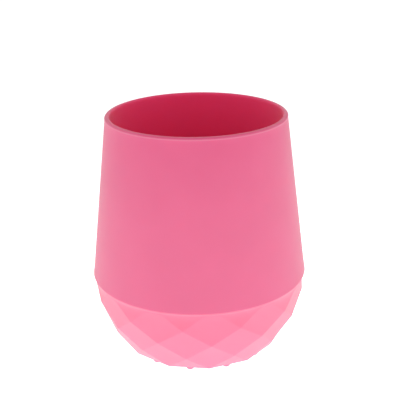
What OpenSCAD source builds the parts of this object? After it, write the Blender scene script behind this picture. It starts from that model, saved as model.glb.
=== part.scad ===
// Soft silicone cup: a smooth tapered skirt on a faceted, bowl-shaped base that stands on small pips.
// Millimetres, +Z up. The origin is on the cup's axis, in the plane of the pips' tips.
// Angles around the cup start at the front (-Y) and grow towards the right (+X).

/* [Whole cup] */
// Height from the pips' tips to the mouth's crown
cup_h = 81.2; // [76:0.1:86]
// Height of the seam where the skirt meets the base
seam_z = 26.5; // [26:0.1:27]
// Outer radius of the skirt's wall where it reaches the seam
skirt_r = 36.2; // [36.2:0.1:38]
// Outer radius at the mouth, on the edge where the wall meets the lip
mouth_r = 29.7; // [28:0.1:33]

/* [Wall] */
// Wall at the mouth
lip_wall = 1.6; // [1.4:0.1:2.2]
// Inner radius at the seam
bowl_r = 32.2; // [31.5:0.1:32.6]
// Height of the inside floor above the pips' tips
floor_z = 4.6; // [4:0.1:6]
// How square the bowl's inner corner is: 2 is an ellipse
bowl_square = 2.8; // [2.2:0.1:3]

/* [Mouth ring] */
// Height of the ring that carries the lip
ring_h = 3; // [2:0.5:5]
// How far the lip's crown stands above its outer edge
crown_rise = 0.7; // [0.3:0.05:1]
// How far the crown's middle lies inside the outer edge
crown_inset = 1; // [0.7:0.05:1.1]
// Width of the flat on the crown
crown_flat = 0.4; // [0.3:0.05:0.6]

/* [Seam] */
// Height of the base's collar inside the skirt
collar_h = 5; // [3:0.5:8]
// Outer radius of that collar
collar_r = 34; // [33.6:0.1:34.4]
// Rounding of the skirt's lower outer edge
hem_round = 0.4; // [0.2:0.05:0.6]
// How far the hem flares out past the wall's taper
hem_flare = 0.12; // [0:0.02:0.3]
// Height over which the hem flares
hem_h = 2; // [1:0.5:4]

/* [Facets] */
// Facets around the base
facet_n = 12; // [12, 14, 16]
// Turn of the facets about the cup's axis, in degrees
facet_turn = -9.2; // [-15:0.1:15]
// Corner row 1, just above the seam: radius
row1_r = 36.2; // [36:0.1:36.4]
// Corner row 1: height above the pips' tips
row1_z = 27.6; // [27.4:0.1:28]
// Corner row 2: radius
row2_r = 35.5; // [35.2:0.1:35.7]
// Corner row 2: height
row2_z = 20.1; // [19.5:0.1:20.5]
// Corner row 3: radius
row3_r = 33.8; // [33.5:0.1:34]
// Corner row 3: height
row3_z = 13.9; // [13.5:0.1:14.5]
// Corner row 4: radius
row4_r = 30.4; // [30:0.1:30.8]
// Corner row 4: height
row4_z = 7.4; // [7:0.1:8]
// Corner row 5, round the flat underside: radius
row5_r = 26.3; // [26:0.1:27]
// Corner row 5: height, which is also how far the pips stand out
row5_z = 1.5; // [1:0.1:2]

/* [Pips] */
// Radius of one pip
pip_r = 1.3; // [1:0.1:1.5]
// Distance of each pip from the cup's axis
pip_circle_r = 23.3; // [20:0.1:23.6]
// Radius of the flat tip that a pip stands on
pip_tip_r = 0.7; // [0.4:0.1:0.8]

/* [Hidden] */
$fn = 128;
base_pink = [1.00, 0.60, 0.70];
skirt_pink = [0.93, 0.44, 0.60];

ring_z = cup_h - ring_h;
edge_z = cup_h - crown_rise;
crown_r = mouth_r - crown_inset;
mouth_inner_r = mouth_r - lip_wall;

// Row 0 is cut away at the seam. It carries the lean of row 1 on upwards.
row0_r = 36.3;
row0_z = row1_z + 7;
rows = [
    [row0_r, row0_z],
    [row1_r, row1_z],
    [row2_r, row2_z],
    [row3_r, row3_z],
    [row4_r, row4_z],
    [row5_r, row5_z]
];

// Each diamond facet is a shallow saddle of cells x cells small quads.
cells = 2;
step = 360 / facet_n;
first_level = cells;
last_level = cells * (len(rows) - 1);

// Outer and inner radius of the tapered wall at height z
function wall_outer(z) = skirt_r + (mouth_r - skirt_r) * (z - seam_z) / (edge_z - seam_z);
function wall_inner(z) = bowl_r + (mouth_inner_r - bowl_r) * (z - seam_z) / (edge_z - seam_z);

// Points of a round edge about a centre, from angle a to angle b
function edge_arc(centre, r, a, b, n = 5) =
    [for (i = [0:n]) centre + r * [cos(a + (b - a) * i / n), sin(a + (b - a) * i / n)]];

// Half outline of the bowl's inside, from the seam down to the middle of the floor
function bowl_arc(n = 14) = [
    for (i = [0:n]) let (a = 90 * i / n) [
        bowl_r * pow(max(cos(a), 0), 2 / bowl_square),
        seam_z - (seam_z - floor_z) * pow(max(sin(a), 0), 2 / bowl_square)
    ]
];

// A facet corner. The rows are staggered: turn counts half facets round the cup.
function ring_point(r, z, turn) =
    let (a = facet_turn + turn * step / 2) [r * sin(a), -r * cos(a), z];
function corner(row, turn) =
    row < len(rows) ? ring_point(rows[row][0], rows[row][1], turn)
    : corner(row - 1, turn - 1) + corner(row - 1, turn + 1) - corner(row - 2, turn);

// A point of the fine lattice, at a level down the base and a place round it.
// It is mixed evenly from the four corners of the diamond that it lies in.
function lattice_point(level, place) =
    let (
        u = (level + place) / 2,
        v = (level - place) / 2,
        cu = floor(u / cells),
        cv = floor(v / cells),
        a = u / cells - cu,
        b = v / cells - cv,
        row = cu + cv,
        turn = cu - cv
    )
    (1 - a) * (1 - b) * corner(row, turn)
    + a * (1 - b) * corner(row + 1, turn + 1)
    + (1 - a) * b * corner(row + 1, turn - 1)
    + a * b * corner(row + 2, turn);

// The faceted body, closed by a fan on top and one flat face underneath
module facets() {
    per_ring = cells * facet_n;
    around = 2 * per_ring;
    points = [
        for (level = [first_level:last_level], i = [0:per_ring - 1])
            lattice_point(level, 2 * i + level % 2)
    ];
    hub = len(points);
    function at(level, place) =
        (level - first_level) * per_ring + floor(((place + around) % around) / 2);
    strips = [
        for (level = [first_level:last_level - 1], i = [0:per_ring - 1])
            let (place = 2 * i + level % 2)
            each [
                [at(level, place), at(level + 1, place + 1), at(level + 1, place - 1)],
                [at(level, place), at(level, place + 2), at(level + 1, place + 1)]
            ]
    ];
    top_fan = [
        for (i = [0:per_ring - 1])
            let (place = 2 * i + first_level % 2)
            [hub, at(first_level, place + 2), at(first_level, place)]
    ];
    underside = [[for (i = [0:per_ring - 1]) at(last_level, 2 * i + last_level % 2)]];
    polyhedron(
        points = concat(points, [[0, 0, row0_z]]),
        faces = concat(strips, top_fan, underside),
        convexity = 4
    );
}

// Lower shell: facets outside, smooth bowl inside, and a collar that locates the skirt
module faceted_base() {
    color(base_pink)
    difference() {
        union() {
            intersection() {
                facets();
                cylinder(r = 2 * skirt_r, h = seam_z);
            }
            translate([0, 0, seam_z]) cylinder(r = collar_r, h = collar_h);
        }
        rotate_extrude()
            polygon(concat(
                [[0, seam_z + collar_h + 1]],
                [[wall_inner(seam_z + collar_h + 1), seam_z + collar_h + 1]],
                bowl_arc()
            ));
    }
}

// Feet: one small domed nub with a flat tip under each column of facets
module base_pips() {
    side_round = pip_r - pip_tip_r;
    color(base_pink)
    for (i = [0:facet_n - 1]) {
        rotate([0, 0, facet_turn + i * step])
        translate([0, -pip_circle_r, 0])
        rotate_extrude($fn = 48)
            polygon(concat(
                [[0, row5_z], [0, 0]],
                edge_arc([pip_tip_r, side_round], side_round, -90, 0),
                [[pip_r, row5_z]]
            ));
    }
}

// Upper wall: straight taper outside with a slightly flared hem, rebated inside for the collar
module skirt() {
    collar_top = seam_z + collar_h;
    hem_r = skirt_r + hem_flare;
    color(skirt_pink)
    rotate_extrude()
        polygon(concat(
            [[collar_r, seam_z]],
            edge_arc([hem_r - hem_round, seam_z + hem_round], hem_round, -90, 0),
            [
                [wall_outer(seam_z + hem_h), seam_z + hem_h],
                [wall_outer(ring_z), ring_z],
                [wall_inner(ring_z), ring_z],
                [wall_inner(collar_top), collar_top],
                [collar_r, collar_top]
            ]
        ));
}

// Mouth ring: the lip, whose narrow crown seals on the skin.
// It slopes down from the crown to its outer edge, and rounds over into the mouth.
module mouth_rim() {
    flat_in = crown_r - crown_flat / 2;
    inner_round = flat_in - mouth_inner_r;
    color(skirt_pink)
    rotate_extrude()
        polygon(concat(
            [
                [wall_inner(ring_z), ring_z],
                [wall_outer(ring_z), ring_z],
                [mouth_r, edge_z],
                [crown_r + crown_flat / 2, cup_h]
            ],
            edge_arc([flat_in, cup_h - inner_round], inner_round, 90, 180)
        ));
}

faceted_base();
base_pips();
skirt();
mouth_rim();
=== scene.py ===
# %% [markdown]
# # A soft silicone cup
#
# The object is a pink silicone cup in two mouldings: a smooth wall that narrows towards its mouth,
# and a paler bowl under it, cut into diamond facets, which stands on twelve small pips.
# The CAD frame gives every size. This lesson builds the surfaces that are seen, from the same rules,
# with the soft edges that a moulded part has, and gives them the finish of matt silicone.

# %% Load the CAD frame
import math

import bmesh
import bpy
from mathutils import Euler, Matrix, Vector
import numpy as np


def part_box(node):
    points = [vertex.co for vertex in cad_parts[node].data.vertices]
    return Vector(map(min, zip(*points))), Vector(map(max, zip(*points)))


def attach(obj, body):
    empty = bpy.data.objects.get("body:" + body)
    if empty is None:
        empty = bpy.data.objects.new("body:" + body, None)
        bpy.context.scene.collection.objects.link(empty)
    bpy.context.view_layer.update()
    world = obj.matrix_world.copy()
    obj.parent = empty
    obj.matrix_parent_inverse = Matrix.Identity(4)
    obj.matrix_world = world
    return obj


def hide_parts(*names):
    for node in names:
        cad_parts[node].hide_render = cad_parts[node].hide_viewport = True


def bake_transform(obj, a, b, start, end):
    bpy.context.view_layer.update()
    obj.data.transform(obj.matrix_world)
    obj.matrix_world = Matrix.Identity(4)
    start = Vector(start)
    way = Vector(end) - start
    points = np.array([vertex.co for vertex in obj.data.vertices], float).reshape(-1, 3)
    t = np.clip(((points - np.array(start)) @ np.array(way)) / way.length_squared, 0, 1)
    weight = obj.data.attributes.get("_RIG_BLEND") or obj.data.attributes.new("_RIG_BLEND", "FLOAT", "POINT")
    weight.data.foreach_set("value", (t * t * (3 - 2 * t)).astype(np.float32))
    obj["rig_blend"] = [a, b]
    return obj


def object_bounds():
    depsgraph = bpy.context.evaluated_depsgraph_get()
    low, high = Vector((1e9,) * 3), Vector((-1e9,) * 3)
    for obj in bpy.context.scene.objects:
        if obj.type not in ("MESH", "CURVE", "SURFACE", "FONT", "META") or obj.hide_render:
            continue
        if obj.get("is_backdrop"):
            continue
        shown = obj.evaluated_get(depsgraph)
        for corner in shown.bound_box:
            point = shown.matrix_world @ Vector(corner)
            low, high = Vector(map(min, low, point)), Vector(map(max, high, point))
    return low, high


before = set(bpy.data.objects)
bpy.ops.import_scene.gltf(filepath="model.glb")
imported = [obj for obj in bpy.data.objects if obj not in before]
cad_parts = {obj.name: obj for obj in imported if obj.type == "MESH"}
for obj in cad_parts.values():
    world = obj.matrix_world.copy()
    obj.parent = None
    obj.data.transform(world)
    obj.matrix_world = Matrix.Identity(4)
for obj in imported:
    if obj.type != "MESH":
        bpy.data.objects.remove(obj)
cad_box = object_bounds()
MM = 0.001


def in_mm(*lengths):
    """Lengths in millimetres, rounded for printing."""
    return [round(length / MM, 2) for length in lengths]


print("CAD box, mm:", [in_mm(*corner) for corner in cad_box])
print("CAD nodes:", len(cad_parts))

# %% [markdown]
# ## Sizes
#
# A lathed wall needs only a few radii and heights. They could be typed in again, but then the looks
# and the CAD model could drift apart. So the heights and the widest radii are read from the boxes of
# the CAD nodes, and only what a box can't tell, such as the thickness of the lip, is a number here.

# %% Read the sizes from the frame
skirt_low, skirt_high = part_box("skirt")
ring_low, ring_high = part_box("mouth_rim")
bowl_low, bowl_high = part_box("faceted_base")

seam_z = skirt_low.z
ring_z = ring_low.z
mouth_z = ring_high.z
collar_z = bowl_high.z
underside_z = bowl_low.z

cad_flare = 0.12 * MM
crown_rise = 0.7 * MM
edge_z = mouth_z - crown_rise
skirt_r = round(skirt_high.x, 5) - cad_flare
taper = (skirt_r - ring_high.x) / (ring_z - seam_z)
mouth_r = skirt_r - taper * (edge_z - seam_z)
print("seam, ring and mouth heights, mm:", in_mm(seam_z, ring_z, mouth_z))
print("wall radius at the seam and at the mouth, mm:", in_mm(skirt_r, mouth_r))

# %% [markdown]
# ## The camera
#
# The cup is seen from a little above and fairly close, so that its mouth is an open ellipse and its
# sides lean in a little more than they really do. A long lens far away would flatten that. So the
# camera stands in front of the cup, tilted down, with the slight pan and roll of a hand-placed one.

# %% Place the camera
camera_back = 278.3 * MM
camera_high = 153.0 * MM
tilt_down = math.radians(20.66)
pan_right = math.radians(0.682)
roll = math.radians(0.93)

camera_data = bpy.data.cameras.new("camera")
camera_data.sensor_width = 36
camera_data.lens = 76.2
camera_data.clip_start = 0.01
camera = bpy.data.objects.new("camera", camera_data)
look = Euler((math.pi / 2 - tilt_down, 0, -pan_right)).to_matrix()
camera.matrix_world = look.to_4x4() @ Euler((0, 0, -roll)).to_matrix().to_4x4()
camera.location = (0, -camera_back, camera_high)
bpy.context.scene.collection.objects.link(camera)
bpy.context.scene.camera = camera
bpy.context.scene.view_settings.view_transform = "Standard"
print("lens, mm:", round(camera_data.lens, 1), "camera from the axis, mm:", in_mm(camera_back))

# %% [markdown]
# ## Arithmetic on shader sockets
#
# A finish is mostly sums: noise times a strength, plus a base value. Adding a Math node for each one
# by hand hides the sum. This small class holds an output socket, and its operators add the nodes, so
# that a mask can be written as 1 - wear. Its method `made` makes every other kind of node: it takes
# the node's type, its settings, which have to be set first, and the values or links of its inputs.

# %% A socket that can be added and multiplied
class Wire:
    """An output socket of a shader node. Arithmetic on it adds Math nodes."""

    def __init__(self, socket):
        self.socket = socket

    @classmethod
    def made(cls, tree, kind, settings=None, inputs=None, output=0):
        """Adds a node, sets its settings, then its inputs by name or number, and returns an output."""
        added = tree.nodes.new(kind)
        for name, value in (settings or {}).items():
            setattr(added, name, value)
        for name, value in (inputs or {}).items():
            if isinstance(value, cls):
                tree.links.new(value.socket, added.inputs[name])
            else:
                added.inputs[name].default_value = value
        return cls(added.outputs[output])

    def maths(self, operation, first, second):
        """A Math node in this socket's tree, on two wires or numbers."""
        tree = self.socket.id_data
        return self.made(tree, "ShaderNodeMath", {"operation": operation}, {0: first, 1: second})

    def __add__(self, other):
        return self.maths("ADD", self, other)

    def __sub__(self, other):
        return self.maths("SUBTRACT", self, other)

    def __rsub__(self, other):
        return self.maths("SUBTRACT", other, self)

    def __mul__(self, other):
        return self.maths("MULTIPLY", self, other)

    def __pow__(self, other):
        return self.maths("POWER", self, other)

    __radd__ = __add__
    __rmul__ = __mul__


print("operators of a wire: +, -, *, **")

# %% [markdown]
# ## Mixes, noises and masks
#
# The finish is put together from noises of several sizes and from mixes of colours by a mask. A Mix
# node keeps a colour, where a Math node would turn it grey. A noise could take its scale as a bare
# number, but the width of its patches in metres says what it is on the cup. Some masks are numbers
# that the mesh itself carries on its points, because the code that shapes a rim knows where it is.

# %% Helpers for a finish
def mix_colours(tree, share, first, second):
    """The first colour where share is 0, and the second where it is 1."""
    settings = {"data_type": "RGBA", "clamp_factor": True}
    return Wire.made(tree, "ShaderNodeMix", settings, {0: share, 6: first, 7: second}, 2)


def noise(tree, where, size, detail=2.0, rough=0.5):
    """Soft noise from 0 to 1, whose patches are about size metres wide."""
    inputs = {"Vector": where, "Scale": 1 / size, "Detail": detail, "Roughness": rough}
    return Wire.made(tree, "ShaderNodeTexNoise", {"noise_dimensions": "3D"}, inputs, 0)


def point_share(tree, name):
    """A number that every point of the mesh carries."""
    return Wire.made(tree, "ShaderNodeAttribute", {"attribute_name": name}, output=2)


def at_least_zero(wire):
    """The wire's value, or 0 where that is negative."""
    return wire.maths("MAXIMUM", wire, 0.0)


def opaque(colour):
    """A colour with its alpha."""
    return (*colour, 1)


print("shares carried by the points: inside, edge")

# %% [markdown]
# ## Dust
#
# Silicone holds on to dust, so a few dark specks lie on any cup that has been out of its box. They
# could be tiny pieces of mesh, but a mask is enough at their size. A Voronoi texture scatters one
# point in each of its cells and gives each cell a random colour: a small circle round the point is a
# speck, and the random value keeps only about a quarter of them.

# %% A mask of dust specks
dust_spacing = 7 * MM
dust_radius = 0.024
dust_kept = 0.28


def dust_specks(tree, where):
    """1 on a speck and 0 beside it. A speck's radius is a share of the spacing."""
    cells = {"feature": "F1", "distance": "EUCLIDEAN"}
    inputs = {"Vector": where, "Scale": 1 / dust_spacing}
    distance = Wire.made(tree, "ShaderNodeTexVoronoi", cells, inputs, 0)
    luck = Wire.made(tree, "ShaderNodeTexVoronoi", cells, inputs, 1)
    in_circle = distance.maths("LESS_THAN", distance, dust_radius)
    kept = luck.maths("GREATER_THAN", luck, 1 - dust_kept)
    return in_circle * kept


print("specks are this wide, mm:", in_mm(2 * dust_radius * dust_spacing))

# %% [markdown]
# ## The colour of silicone
#
# Silicone is coloured right through and a little cloudy, so its colour depends on how thick it is and
# on how light reaches it. One flat pink looks like painted plaster. The outside is milky, in soft
# clouds of paler pink. The wall is painted a little deeper towards the mouth, where the wall is
# thinner; that is painted shade, because the lower wall catches more of the table's light. The inside
# is painted much deeper, as painted shade of the hollow, where light bounces between the walls. The
# thin edges and the pips are painted paler, as painted light that shines through thin silicone. Each
# of those is one mix, and the specks of dust come last, because they lie on top.

# %% The colour over the surface
mouth_shade_from = 40 * MM
mouth_shade_over = 40 * MM
milkiness = 1.16
cloud_strength = 0.5
dust_colour = (0.35, 0.09, 0.15)
dust_cover = 0.45


def silicone_colour(tree, where, cloud, inside, tones):
    """The colour of one moulding: its outside tone, painted shade towards the mouth and inside, and a
    painted highlight on thin edges.
    """
    height = Wire.made(tree, "ShaderNodeSeparateXYZ", None, {0: where}, 2)
    mouth_shade = at_least_zero(height - mouth_shade_from) * (1 / mouth_shade_over)
    # The mouth tone is painted shade: the wall is painted deeper towards the mouth.
    wall = mix_colours(tree, mouth_shade ** 2, opaque(tones["outside"]), opaque(tones["mouth"]))
    milky = [min(part * milkiness, 1) for part in tones["outside"]]
    clouded = mix_colours(tree, cloud * cloud_strength, wall, opaque(milky))
    # The edge tone is painted light: thin edges and pips are painted paler, where light shines through them.
    edge_highlighted = mix_colours(tree, point_share(tree, "edge"), clouded, opaque(tones["edge"]))
    # The inside tone is painted shade of the hollow.
    inside_shaded = mix_colours(tree, inside, edge_highlighted, opaque(tones["inside"]))
    return mix_colours(tree, dust_specks(tree, where) * dust_cover, inside_shaded, opaque(dust_colour))


print("the wall deepens between these heights, mm:", in_mm(mouth_shade_from, mouth_shade_from + mouth_shade_over))

# %% [markdown]
# ## The skin of silicone
#
# A mould for silicone is blasted matt outside, and its fine grain is printed on the cup. Handling
# leaves faint smears, which are slightly glossier. The core that shapes the inside is smoother. Real
# relief this fine would need millions of faces, so the grain is a bump, a twentieth of a millimetre
# deep, and the smears only change the roughness.

# %% Roughness and fine relief
grain_size = 0.35 * MM
smear_size = 5 * MM
smear_change = 0.12
grain_change = 0.10
inside_smoother = 0.1
grain_depth = 0.05 * MM


def give_skin(tree, shader, where, cloud, inside, roughness):
    """Links a matt, finely grained skin to the shader."""
    grain = noise(tree, where, grain_size, 3, 0.6)
    smear = noise(tree, where, smear_size, 3)
    marks = (smear - 0.5) * smear_change + (grain - 0.5) * grain_change
    matt = roughness + marks - inside * inside_smoother
    tree.links.new(matt.socket, shader.inputs["Roughness"])
    relief = {"Strength": 0.12, "Distance": grain_depth, "Height": 0.7 * grain + 0.3 * cloud}
    tree.links.new(Wire.made(tree, "ShaderNodeBump", None, relief).socket, shader.inputs["Normal"])


print("grain and smears, mm:", in_mm(grain_size, smear_size))

# %% [markdown]
# ## Light under the skin
#
# Light goes into silicone, spreads and comes out redder, which softens the shade on every facet. A
# wide spread is true of a thick block, but on a thin lip it makes the crown glow, so the spread stays
# under a millimetre. Seen along its surface, a matt, slightly dusty cup also has a pale veil, which
# the sheen gives. These values are the same all over, so they are set on the shader's own sockets.

# %% Put the finish together
cloud_size = 14 * MM
under_skin = {
    "IOR": 1.43,
    "Subsurface Weight": 0.32,
    "Subsurface Radius": (1.0, 0.25, 0.35),
    "Subsurface Scale": 0.6 * MM,
    "Sheen Weight": 0.2,
    "Sheen Roughness": 0.5,
    "Sheen Tint": (0.5, 0.97, 0.66, 1),
}


def silicone(name, tones, roughness):
    """Matt silicone, coloured through."""
    material = bpy.data.materials.new(name)
    material.use_nodes = True
    tree = material.node_tree
    shader = tree.nodes["Principled BSDF"]
    where = Wire.made(tree, "ShaderNodeTexCoord", output=3)
    cloud = noise(tree, where, cloud_size)
    inside = point_share(tree, "inside")
    colour = silicone_colour(tree, where, cloud, inside, tones)
    tree.links.new(colour.socket, shader.inputs["Base Color"])
    give_skin(tree, shader, where, cloud, inside, roughness)
    for socket, value in under_skin.items():
        shader.inputs[socket].default_value = value
    print("finish:", name, "with", len(tree.nodes), "nodes")
    return material


# %% [markdown]
# ## Two pinks
#
# The wall is a deep pink, and the bowl is paler and a little warmer. They are two batches of the same
# material, so one recipe makes both, and only the four tones and the roughness change. The bowl
# doesn't reach the mouth, so its tone there is simply its outside's.

# %% The wall's and the bowl's finish
# Only the outside tones are the silicone's own colours. The wall's mouth tone and both inside tones are
# painted shade, and both edge tones are painted highlights.
skirt_tones = {
    "outside": (0.80, 0.149, 0.291),
    "mouth": (0.77, 0.107, 0.251),
    "inside": (0.98, 0.043, 0.182),
    "edge": (0.82, 0.21, 0.35),
}
base_tones = {
    "outside": (0.90, 0.181, 0.308),
    "mouth": (0.90, 0.181, 0.308),
    "inside": (0.92, 0.11, 0.21),
    "edge": (0.91, 0.245, 0.385),
}
skirt_finish = silicone("skirt_silicone", skirt_tones, 0.61)
base_finish = silicone("base_silicone", base_tones, 0.56)

# %% [markdown]
# ## Outlines
#
# Every round piece here starts as half an outline, a list of radii and heights. Moulded edges are
# never sharp, so an outline is made of straight runs and round edges. A bevel modifier could round
# the edges afterwards, but it can't keep each one to the size that its part of the mould has.

# %% Round edges, straight runs and soft steps
def arc(centre_r, centre_z, radius, start, end, count=6):
    """Points (r, z) along a round edge, from one angle to another, in degrees."""
    angles = [math.radians(start + (end - start) * i / count) for i in range(count + 1)]
    return [(centre_r + radius * math.cos(a), centre_z + radius * math.sin(a)) for a in angles]


def quarter(count):
    """Angles from 0 to a right angle, for a quarter of an ellipse."""
    return [math.pi / 2 * i / count for i in range(count + 1)]


def line(start, end, count):
    """Points between two ends, without the ends."""
    steps = [i / count for i in range(1, count)]
    return [tuple(a + (b - a) * t for a, b in zip(start, end)) for t in steps]


def ramp(value, start, end):
    """0 before start, 1 after end, and even between."""
    return min(max((value - start) / (end - start), 0), 1)


def smooth_share(value):
    """0 below 0, 1 above 1, and a smooth step between."""
    t = ramp(value, 0, 1)
    return t * t * (3 - 2 * t)


print("a 1 mm round edge in two steps, mm:", [in_mm(*point) for point in arc(0, 0, MM, 0, 90, 2)])

# %% [markdown]
# ## From rings of points to a surface
#
# An outline turned about the axis is a stack of rings. The Screw modifier does that too, but the bowl
# needs rings that aren't round, and one helper that joins any ring to the next serves both. Each
# point also carries its two shares for the finish: how far it is on the inside, where the colour is
# painted shade, and on an edge, where it is a painted highlight.

# %% Turn rings, join them, and finish a piece
def new_shell():
    """An empty bmesh whose points can say how far they lie on the inside, painted as shade, and on a thin
    edge, painted as a highlight.
    """
    mesh = bmesh.new()
    mesh.verts.layers.float.new("inside")
    mesh.verts.layers.float.new("edge")
    return mesh


def turned_ring(mesh, radius, height, angles, **shares):
    """A ring of vertices at one radius and height. Angle 0 is the front."""
    ring = [mesh.verts.new((radius * math.sin(a), -radius * math.cos(a), height)) for a in angles]
    for name, share in shares.items():
        for vertex in ring:
            vertex[mesh.verts.layers.float[name]] = share
    return ring


def join_rings(mesh, upper, lower):
    """Quads between two rings with the same number of points."""
    count = len(upper)
    for i in range(count):
        j = (i + 1) % count
        mesh.faces.new((upper[i], lower[i], lower[j], upper[j]))


def finish_piece(mesh, name, material):
    """Turns a bmesh into a smooth-shaded object in the row frame."""
    bmesh.ops.recalc_face_normals(mesh, faces=mesh.faces)
    data = bpy.data.meshes.new(name)
    mesh.to_mesh(data)
    mesh.free()
    data.polygons.foreach_set("use_smooth", [True] * len(data.polygons))
    data.materials.append(material)
    made = bpy.data.objects.new(name, data)
    bpy.context.scene.collection.objects.link(made)
    print("made", name, "with", len(data.polygons), "faces")
    return made


# %% [markdown]
# ## The wall's taper
#
# The wall is straight and leans in towards the mouth, and its hem flares out by less than a tenth of
# a millimetre where it sits on the bowl. A sharp kink there would draw a dark band round the cup, so
# the flare is spread over five millimetres in a smooth step.

# %% Radius of the wall at any height
lip_wall = 1.6 * MM
bowl_r = 32.2 * MM
hem_h = 5.0 * MM
hem_flare = 0.08 * MM


def inner_r(z):
    """Radius of the inside at height z."""
    share = (z - seam_z) / (edge_z - seam_z)
    return bowl_r + (mouth_r - lip_wall - bowl_r) * share


def outer_r(z):
    """Radius of the outside at height z."""
    return skirt_r - taper * (z - seam_z) + hem_flare * smooth_share((seam_z + hem_h - z) / hem_h)


print("wall at the seam and at the lip, mm:", in_mm(outer_r(seam_z) - inner_r(seam_z), lip_wall))

# %% [markdown]
# ## The lip
#
# The lip is what seals. It rounds over from the wall's top edge to a narrow crown, which lies a
# millimetre further in, and its outer edge stands a tenth of a millimetre proud of the wall. A fine
# pale line is painted along that edge, a painted highlight where the proud edge catches the light. A
# flat, sloping lip would be simpler, but it takes one even tone. Two quarters of an ellipse, one
# outside the crown and one inside it, shade like a moulded edge.

# %% Outline of the lip
crown_inset = 1.0 * MM
crown_flat = 0.1 * MM
lip_proud = 0.1 * MM
lip_under_depth = 0.35 * MM
inner_rise = 0.9 * MM

crown_out_r = mouth_r - crown_inset + crown_flat / 2
crown_in_r = mouth_r - crown_inset - crown_flat / 2
proud_reach = mouth_r + lip_proud - crown_out_r
inner_reach = crown_in_r - mouth_r + lip_wall

lip_under = (mouth_r + taper * lip_under_depth, edge_z - lip_under_depth)
lip_round = [
    (crown_out_r + proud_reach * math.cos(a), edge_z + crown_rise * math.sin(a)) for a in quarter(10)
]
inner_edge = [
    (crown_in_r - inner_reach * math.sin(a), mouth_z - inner_rise * (1 - math.cos(a))) for a in quarter(8)
]
print("crown radius, mm:", in_mm(mouth_r - crown_inset))

# %% [markdown]
# ## The whole wall
#
# The skirt and the mouth ring are one moulding on the real cup, and it shortens when the mouth is
# pressed. Two rigid pieces would show a cut between them. So the wall is one closed skin: up the
# outside, over the lip, and down the inside to where the bowl's collar begins. Many rings up its
# height let it shorten smoothly.

# %% Outline of the wall
wall_rows = 36
line_z = seam_z + 0.2 * MM
collar_r = 34.0 * MM
hem_round = 0.2 * MM

hem = arc(skirt_r + hem_flare - hem_round, line_z + hem_round, hem_round, -90, 0, 6)
flare_heights = [line_z + hem_round + (hem_h - hem_round) * i / 8 for i in range(1, 9)]
flare = [(outer_r(z), z) for z in flare_heights]
inner_foot = (inner_r(collar_z), collar_z)
wall_outline = (
    [(collar_r, line_z)]
    + hem
    + flare
    + line(flare[-1], lip_under, wall_rows)
    + [lip_under]
    + lip_round
    + inner_edge
    + line(inner_edge[-1], inner_foot, wall_rows)
    + [inner_foot, (collar_r, collar_z)]
)
print("points in the wall's outline:", len(wall_outline))

# %% [markdown]
# Each ring is told how far it is on the inside and on the edge. The inside's deep tone, painted shade
# of the hollow, comes in slowly over the lip and fully just below the crown, and the pale line, a
# painted highlight, lies on the lip's outer edge.

# %% Turn the wall
around = 192
# The edge share paints a highlight line on the lip's outer edge; this is its half width.
highlight_width = 0.28 * MM
crown_share = 0.4
deep_after = 5

wall_mesh = new_shell()
wall_angles = [math.tau * i / around for i in range(around)]
land_start = wall_outline.index(lip_round[0])
crown_start = wall_outline.index(inner_edge[0])
wall_rings = []
for place, (r, z) in enumerate(wall_outline):
    deep = crown_share * ramp(place, land_start, crown_start)
    deep += (1 - crown_share) * ramp(place, crown_start, crown_start + deep_after)
    painted_highlight = max(1 - abs(z - edge_z) / highlight_width, 0) if place < crown_start else 0
    wall_rings.append(turned_ring(wall_mesh, r, z, wall_angles, inside=deep, edge=painted_highlight))
for upper, lower in zip(wall_rings, wall_rings[1:] + wall_rings[:1]):
    join_rings(wall_mesh, upper, lower)
wall = finish_piece(wall_mesh, "silicone_wall", skirt_finish)

# %% [markdown]
# ## The facets
#
# The bowl's outside is a lattice of diamonds: five rows of corners, each row turned half a facet from
# the one above. A row above them is cut away later, and only carries their lean upwards. The corners
# aren't quite in one plane, so each diamond is a shallow saddle, which is why it shades from light at
# its top corner to dark at its bottom one. A flat-shaded cage of big quads would fold each diamond in
# two. Here each one is a fine grid mixed evenly from its four corners, with a narrow strip along
# every edge, so that smooth shading rounds the crease over half a millimetre.

# %% Lay out the lattice
facet_count = 12
facet_turn = math.radians(-9.2)
half_step = math.pi / facet_count
corner_rows = [
    (36.3, 34.6),
    (36.2, 27.6),
    (35.5, 20.1),
    (33.8, 13.9),
    (30.4, 7.4),
    (26.3, 1.5),
]
edge_strip = 0.022
grid_steps = [0, edge_strip, 0.06, 0.13, 0.25, 0.4, 0.6, 0.75, 0.87, 0.94, 1 - edge_strip]
cells = len(grid_steps)


def facet_corner(row, turn):
    """A corner of the lattice. Past the last row it carries the last facets on, flat."""
    if row >= len(corner_rows):
        sides = facet_corner(row - 1, turn - 1) + facet_corner(row - 1, turn + 1)
        return sides - facet_corner(row - 2, turn)
    r, z = corner_rows[row]
    a = facet_turn + turn * half_step
    return Vector((r * math.sin(a), -r * math.cos(a), z)) * MM


def facet_point(down_right, down_left):
    """A lattice point, counted in cells along the two slanting directions."""
    row_right, a = down_right // cells, grid_steps[down_right % cells]
    row_left, b = down_left // cells, grid_steps[down_left % cells]
    row, turn = row_right + row_left, row_right - row_left
    top, bottom = facet_corner(row, turn), facet_corner(row + 2, turn)
    right, left = facet_corner(row + 1, turn + 1), facet_corner(row + 1, turn - 1)
    return top * (1 - a) * (1 - b) + right * a * (1 - b) + left * (1 - a) * b + bottom * a * b


print("corner rows:", len(corner_rows), "cells along a facet's side:", cells)

# %% [markdown]
# The lattice is built one facet at a time, and points that two facets share are kept once, by their
# place in the lattice. The half facets of the last row end on the straight edges of the underside.

# %% Build the faceted skin
bowl_mesh = new_shell()
lattice = {}


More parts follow.
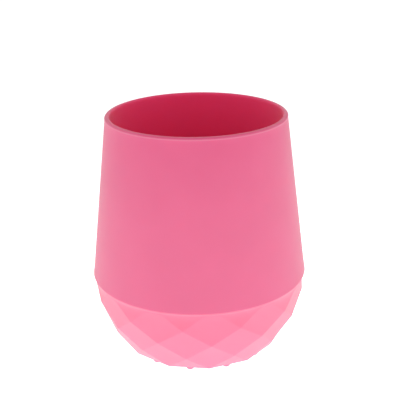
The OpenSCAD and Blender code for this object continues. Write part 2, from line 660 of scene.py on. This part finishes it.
def lattice_vertex(down_right, down_left):
    """The vertex at a place in the lattice, wrapped round the bowl."""
    wrap = facet_count * cells
    turns = (down_right - down_left) // (2 * wrap)
    key = (down_right - turns * wrap, down_left + turns * wrap)
    if key not in lattice:
        lattice[key] = bowl_mesh.verts.new(facet_point(*key))
    return lattice[key]


last_row = len(corner_rows) - 1
for row in range(last_row):
    for column in range(facet_count):
        right_0, left_0 = (column + row) * cells, -column * cells
        flat_end = row == last_row - 1
        for i in range(cells):
            for j in range(cells):
                if flat_end and i + j >= cells:
                    continue
                loop = [(i, j), (i, j + 1), (i + 1, j + 1), (i + 1, j)]
                if flat_end and i + j == cells - 1:
                    loop.remove((i + 1, j + 1))
                verts = [lattice_vertex(right_0 + a, left_0 + b) for a, b in loop]
                bowl_mesh.faces.new(verts)
print("lattice points:", len(lattice))

# %% [markdown]
# ## The bowl's top band
#
# Near the seam the facets of the real cup die out into a plain round band, because the mould blends
# them there, and the band ends in a thin bead. Its last millimetre is painted paler, a painted
# highlight where light shines through the thin edge. A separate ring would leave a line. So the
# lattice is cut level, with a few more level cuts under it that give the painted highlight points at
# even heights, and its last rows are drawn out to a circle.

# %% Cut the top level
shoulder_round = 0.25 * MM
cut_z = line_z - shoulder_round
cut_depths = (0, 0.25, 0.5, 0.75, 1.0)

for depth in cut_depths:
    bmesh.ops.bisect_plane(
        bowl_mesh,
        geom=bowl_mesh.verts[:] + bowl_mesh.edges[:] + bowl_mesh.faces[:],
        dist=1e-8,
        plane_co=(0, 0, cut_z - depth * MM),
        plane_no=(0, 0, 1),
        clear_outer=depth == 0,
    )
print("level cuts at these heights, mm:", in_mm(*[cut_z - depth * MM for depth in cut_depths]))

# %% [markdown]
# Drawing out is a scale about the axis, by a share that grows from nothing where the facets are whole
# to one at the cut. Holding the radius back a little just below the cut leaves the bead standing.

# %% Fade the facets out
shoulder_r = 36.05 * MM
bead = 0.12 * MM
bead_h = 0.7 * MM
fade_h = 2.4 * MM
highlight_h = 0.8 * MM

# The edge share paints the band's top paler: a painted highlight.
highlight_layer = bowl_mesh.verts.layers.float["edge"]
for vertex in bowl_mesh.verts:
    vertex[highlight_layer] = smooth_share((vertex.co.z - cut_z + highlight_h) / highlight_h)
    share = smooth_share((vertex.co.z - line_z + fade_h) / (fade_h - shoulder_round))
    radius = math.hypot(vertex.co.x, vertex.co.y)
    if radius > 0 and share > 0:
        held_back = bead * smooth_share((cut_z - vertex.co.z) / bead_h)
        scale = 1 + share * ((shoulder_r - held_back) / radius - 1)
        vertex.co.x *= scale
        vertex.co.y *= scale
print("band above the facets, mm:", in_mm(fade_h))

# %% [markdown]
# ## The bowl's inside
#
# The skin still needs a top edge, a collar that laps inside the wall, and an inside. A second, smooth
# bowl set into this one would leave two skins in one place. So the ring of points along the cut is
# carried on: over the shoulder, up the collar, down the inside and across the floor, as one shell.
# The collar keeps a fiftieth of a millimetre clear of the wall, so that the two skins never flicker.

# %% Outline of the collar and the inside
fit_gap = 0.02 * MM
floor_z = 4.6 * MM
bowl_square = 2.8


def bowl_inside(count=28):
    """The inside of the bowl from the seam to near the middle of the floor."""
    outline = []
    for i in range(count):
        a = math.pi / 2 * i / count
        r = bowl_r * math.cos(a) ** (2 / bowl_square)
        z = seam_z - (seam_z - floor_z) * math.sin(a) ** (2 / bowl_square)
        outline.append((r, z))
    return outline


collar_foot = (collar_r - fit_gap, line_z - fit_gap)
collar_top = (collar_r - fit_gap, collar_z - fit_gap)
collar_inner = (inner_r(collar_z), collar_z - fit_gap)
shell_outline = (
    arc(shoulder_r - shoulder_round, cut_z - fit_gap, shoulder_round, 15, 90)
    + [collar_foot]
    + line(collar_foot, collar_top, 4)
    + [collar_top, collar_inner]
    + line(collar_inner, (bowl_r, seam_z), 4)
    + bowl_inside()
)
print("rings on the shoulder, the collar and the inside:", len(shell_outline))

# %% [markdown]
# The facets cut at the top leave points at uneven angles. Rings with the same angles join them without
# a twist, so the cut's own points are sorted round the cup, and every ring after them copies their
# angles. The points round the underside are found in the same way, for the next step.

# %% Carry the top ring over and down the inside
def front_angle(vertex):
    """The angle of a vertex round the cup, from the front."""
    return math.atan2(vertex.co.x, -vertex.co.y)


half_way = seam_z / 2
open_edges = [edge for edge in bowl_mesh.edges if edge.is_boundary]
open_verts = {vertex for edge in open_edges for vertex in edge.verts}
top_ring = sorted((v for v in open_verts if v.co.z > half_way), key=front_angle)
under_ring = sorted((v for v in open_verts if v.co.z < half_way), key=front_angle)

angles = [front_angle(v) for v in top_ring]
ring = top_ring
# Points on the shoulder take the edge share, a painted highlight; points inside take the inside share,
# painted shade.
for r, z in shell_outline:
    is_inside, on_highlight = float(r <= bowl_r), float(r > collar_r)
    following = turned_ring(bowl_mesh, r, z, angles, inside=is_inside, edge=on_highlight)
    join_rings(bowl_mesh, ring, following)
    ring = following
bowl_mesh.faces.new(ring)
print("points in the top ring:", len(top_ring), "and round the underside:", len(under_ring))

# %% [markdown]
# ## The underside
#
# The cup stands on its pips, so the underside is a plain flat face, edged by the last facets. One
# polygon would do, but it shades badly next to smooth facets. A narrow ring just inside its edge, and
# the edge itself marked as sharp, keep it flat up to the corner.

# %% Close the underside
inset_scales = (0.992, 0.97, 0.8, 0.4)
ring = under_ring
for scale in inset_scales:
    following = []
    for vertex in under_ring:
        place = vertex.co.copy()
        place.x *= scale
        place.y *= scale
        following.append(bowl_mesh.verts.new(place))
    join_rings(bowl_mesh, ring, following)
    ring = following
bowl_mesh.faces.new(ring)
for edge in open_edges:
    if edge.is_valid and max(v.co.z for v in edge.verts) < half_way:
        edge.smooth = False
bowl = finish_piece(bowl_mesh, "faceted_bowl", base_finish)

# %% [markdown]
# ## The pips
#
# Twelve nubs carry the cup, one under each column of facets. Each is a short post with a domed end and
# a small flat tip, and a moulded post never meets its floor at a knife-sharp corner, so its foot flares
# out where it joins the bowl. One outline, turned and copied round the cup, makes all of them. They
# are so thin that light comes through them, so they take the pale tone of an edge.

# %% Outline of a pip
pip_r = 1.3 * MM
pip_tip_r = 0.7 * MM
pip_circle_r = 23.3 * MM
pip_flare = 0.25 * MM
pip_dome = pip_r - pip_tip_r
pip_outline = (
    [(pip_tip_r / 2, 0)]
    + arc(pip_tip_r, pip_dome, pip_dome, -90, 0, 6)
    + arc(pip_r + pip_flare, underside_z - pip_flare, -pip_flare, 0, -90, 5)
)
print("pip height and width, mm:", in_mm(underside_z, 2 * pip_r))

# %% [markdown]
# Every pip is turned on the axis and then moved out to its place under a column of facets.

# %% Turn the pips
pip_sides = 40
pip_mesh = new_shell()
pip_angles = [math.tau * i / pip_sides for i in range(pip_sides)]
for i in range(facet_count):
    turn = facet_turn + 2 * half_step * i
    centre = Vector((pip_circle_r * math.sin(turn), -pip_circle_r * math.cos(turn), 0))
    rings = [turned_ring(pip_mesh, r, z, pip_angles, edge=1.0) for r, z in pip_outline]
    for upper, lower in zip(rings, rings[1:]):
        join_rings(pip_mesh, upper, lower)
    pip_mesh.faces.new(rings[0])
    pip_mesh.faces.new(rings[-1])
    bmesh.ops.translate(pip_mesh, verts=[v for ring in rings for v in ring], vec=centre)
pips = finish_piece(pip_mesh, "standing_pips", base_finish)

# %% [markdown]
# ## The table
#
# The cup stands on a white light table: a broad pale sheet that throws light up under the bowl. A
# lamp from below can't shine through a solid floor, so the table gives off a little light of its own,
# most near the cup and less further out, as a panel with its lamps under the middle does. That also
# keeps the cup's shadow faint.

# %% A white table that glows
table_r = 4.0
table_sides = 96
mottle_size = 60 * MM
table_grey, table_pale = (0.40, 0.40, 0.405, 1), (0.42, 0.42, 0.42, 1)
glow_reach = 150 * MM
glow_far, glow_near = (0.54, 0.54, 0.54, 1), (1, 1, 1, 1)
glow_strength = 1.35

table_mesh = bmesh.new()
table_angles = [math.tau * i / table_sides for i in range(table_sides)]
table_ring = turned_ring(table_mesh, table_r, 0, table_angles)
table_mesh.faces.new(table_ring)
table_finish = bpy.data.materials.new("white_table")
table_finish.use_nodes = True
tree = table_finish.node_tree
shader = tree.nodes["Principled BSDF"]

where = Wire.made(tree, "ShaderNodeTexCoord", output=3)
tone = mix_colours(tree, noise(tree, where, mottle_size), table_grey, table_pale)
tree.links.new(tone.socket, shader.inputs["Base Color"])
from_cup = Wire.made(tree, "ShaderNodeVectorMath", {"operation": "LENGTH"}, {0: where}, 1)
near_cup = (1 + (from_cup * (1 / glow_reach)) ** 2) ** -1
glow = mix_colours(tree, near_cup, glow_far, glow_near)
tree.links.new(glow.socket, shader.inputs["Emission Color"])
shader.inputs["Emission Strength"].default_value = glow_strength
shader.inputs["Roughness"].default_value = 0.8

table = finish_piece(table_mesh, "white_table", table_finish)
table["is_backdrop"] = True

# %% [markdown]
# ## The surround
#
# The cup is lit evenly, by a bright tent all round it rather than by a lamp: a lamp would put a spot
# on the wall, which matt silicone doesn't show. An even tent leaves the cup without shape, though. So
# the surround is dimmer straight above, where the tent has its opening, which lets the inside fall
# off in depth, and a little dimmer at the front, where whoever looks at the cup stands in the light.

# %% Soft light from all round
tent = 1.10
dimmer_above = 0.72
dimmer_in_front = 0.25
brighter_right = 0.02

world = bpy.data.worlds.new("surround")
world.use_nodes = True
tree = world.node_tree
background = tree.nodes["Background"]
direction = Wire.made(tree, "ShaderNodeTexCoord", output=0)
to_right, to_back, to_top = [
    Wire.made(tree, "ShaderNodeSeparateXYZ", None, {0: direction}, axis) for axis in range(3)
]
front = at_least_zero(0 - to_back)
above = at_least_zero(to_top)
brightness = tent - dimmer_above * above ** 1.8 - dimmer_in_front * front ** 3 + brighter_right * to_right
tree.links.new(brightness.socket, background.inputs["Strength"])
background.inputs["Color"].default_value = (1, 1, 1, 1)
bpy.context.scene.world = world
print("surround with", len(tree.nodes), "nodes")

# %% [markdown]
# ## Fit to the frame
#
# The bowl and pips are fixed to the base body. The wall crosses the press joint, so it bends between
# the two bodies: it stays with the base up to the collar's top, and follows the mouth ring at the lip.
# The CAD nodes that the pieces stand in for are hidden.

# %% Ride, blend and replace
for piece, node in ((bowl, "faceted_base"), (pips, "base_pips")):
    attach(piece, "base")
    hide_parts(node)
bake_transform(wall, "base", "mouth", start=(0, 0, collar_z), end=(0, 0, ring_z))
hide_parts("skirt", "mouth_rim")
print("the wall bends between these heights, mm:", in_mm(collar_z, ring_z))

# %% [markdown]
# ## Both boxes
#
# The surfaces may look better than the CAD model, but they may not be bigger. The visual box is
# printed here, and the CAD box at the start, so that they can be compared.

# %% Print the visual box
visual_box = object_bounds()
print("visual box, mm:", [in_mm(*corner) for corner in visual_box])
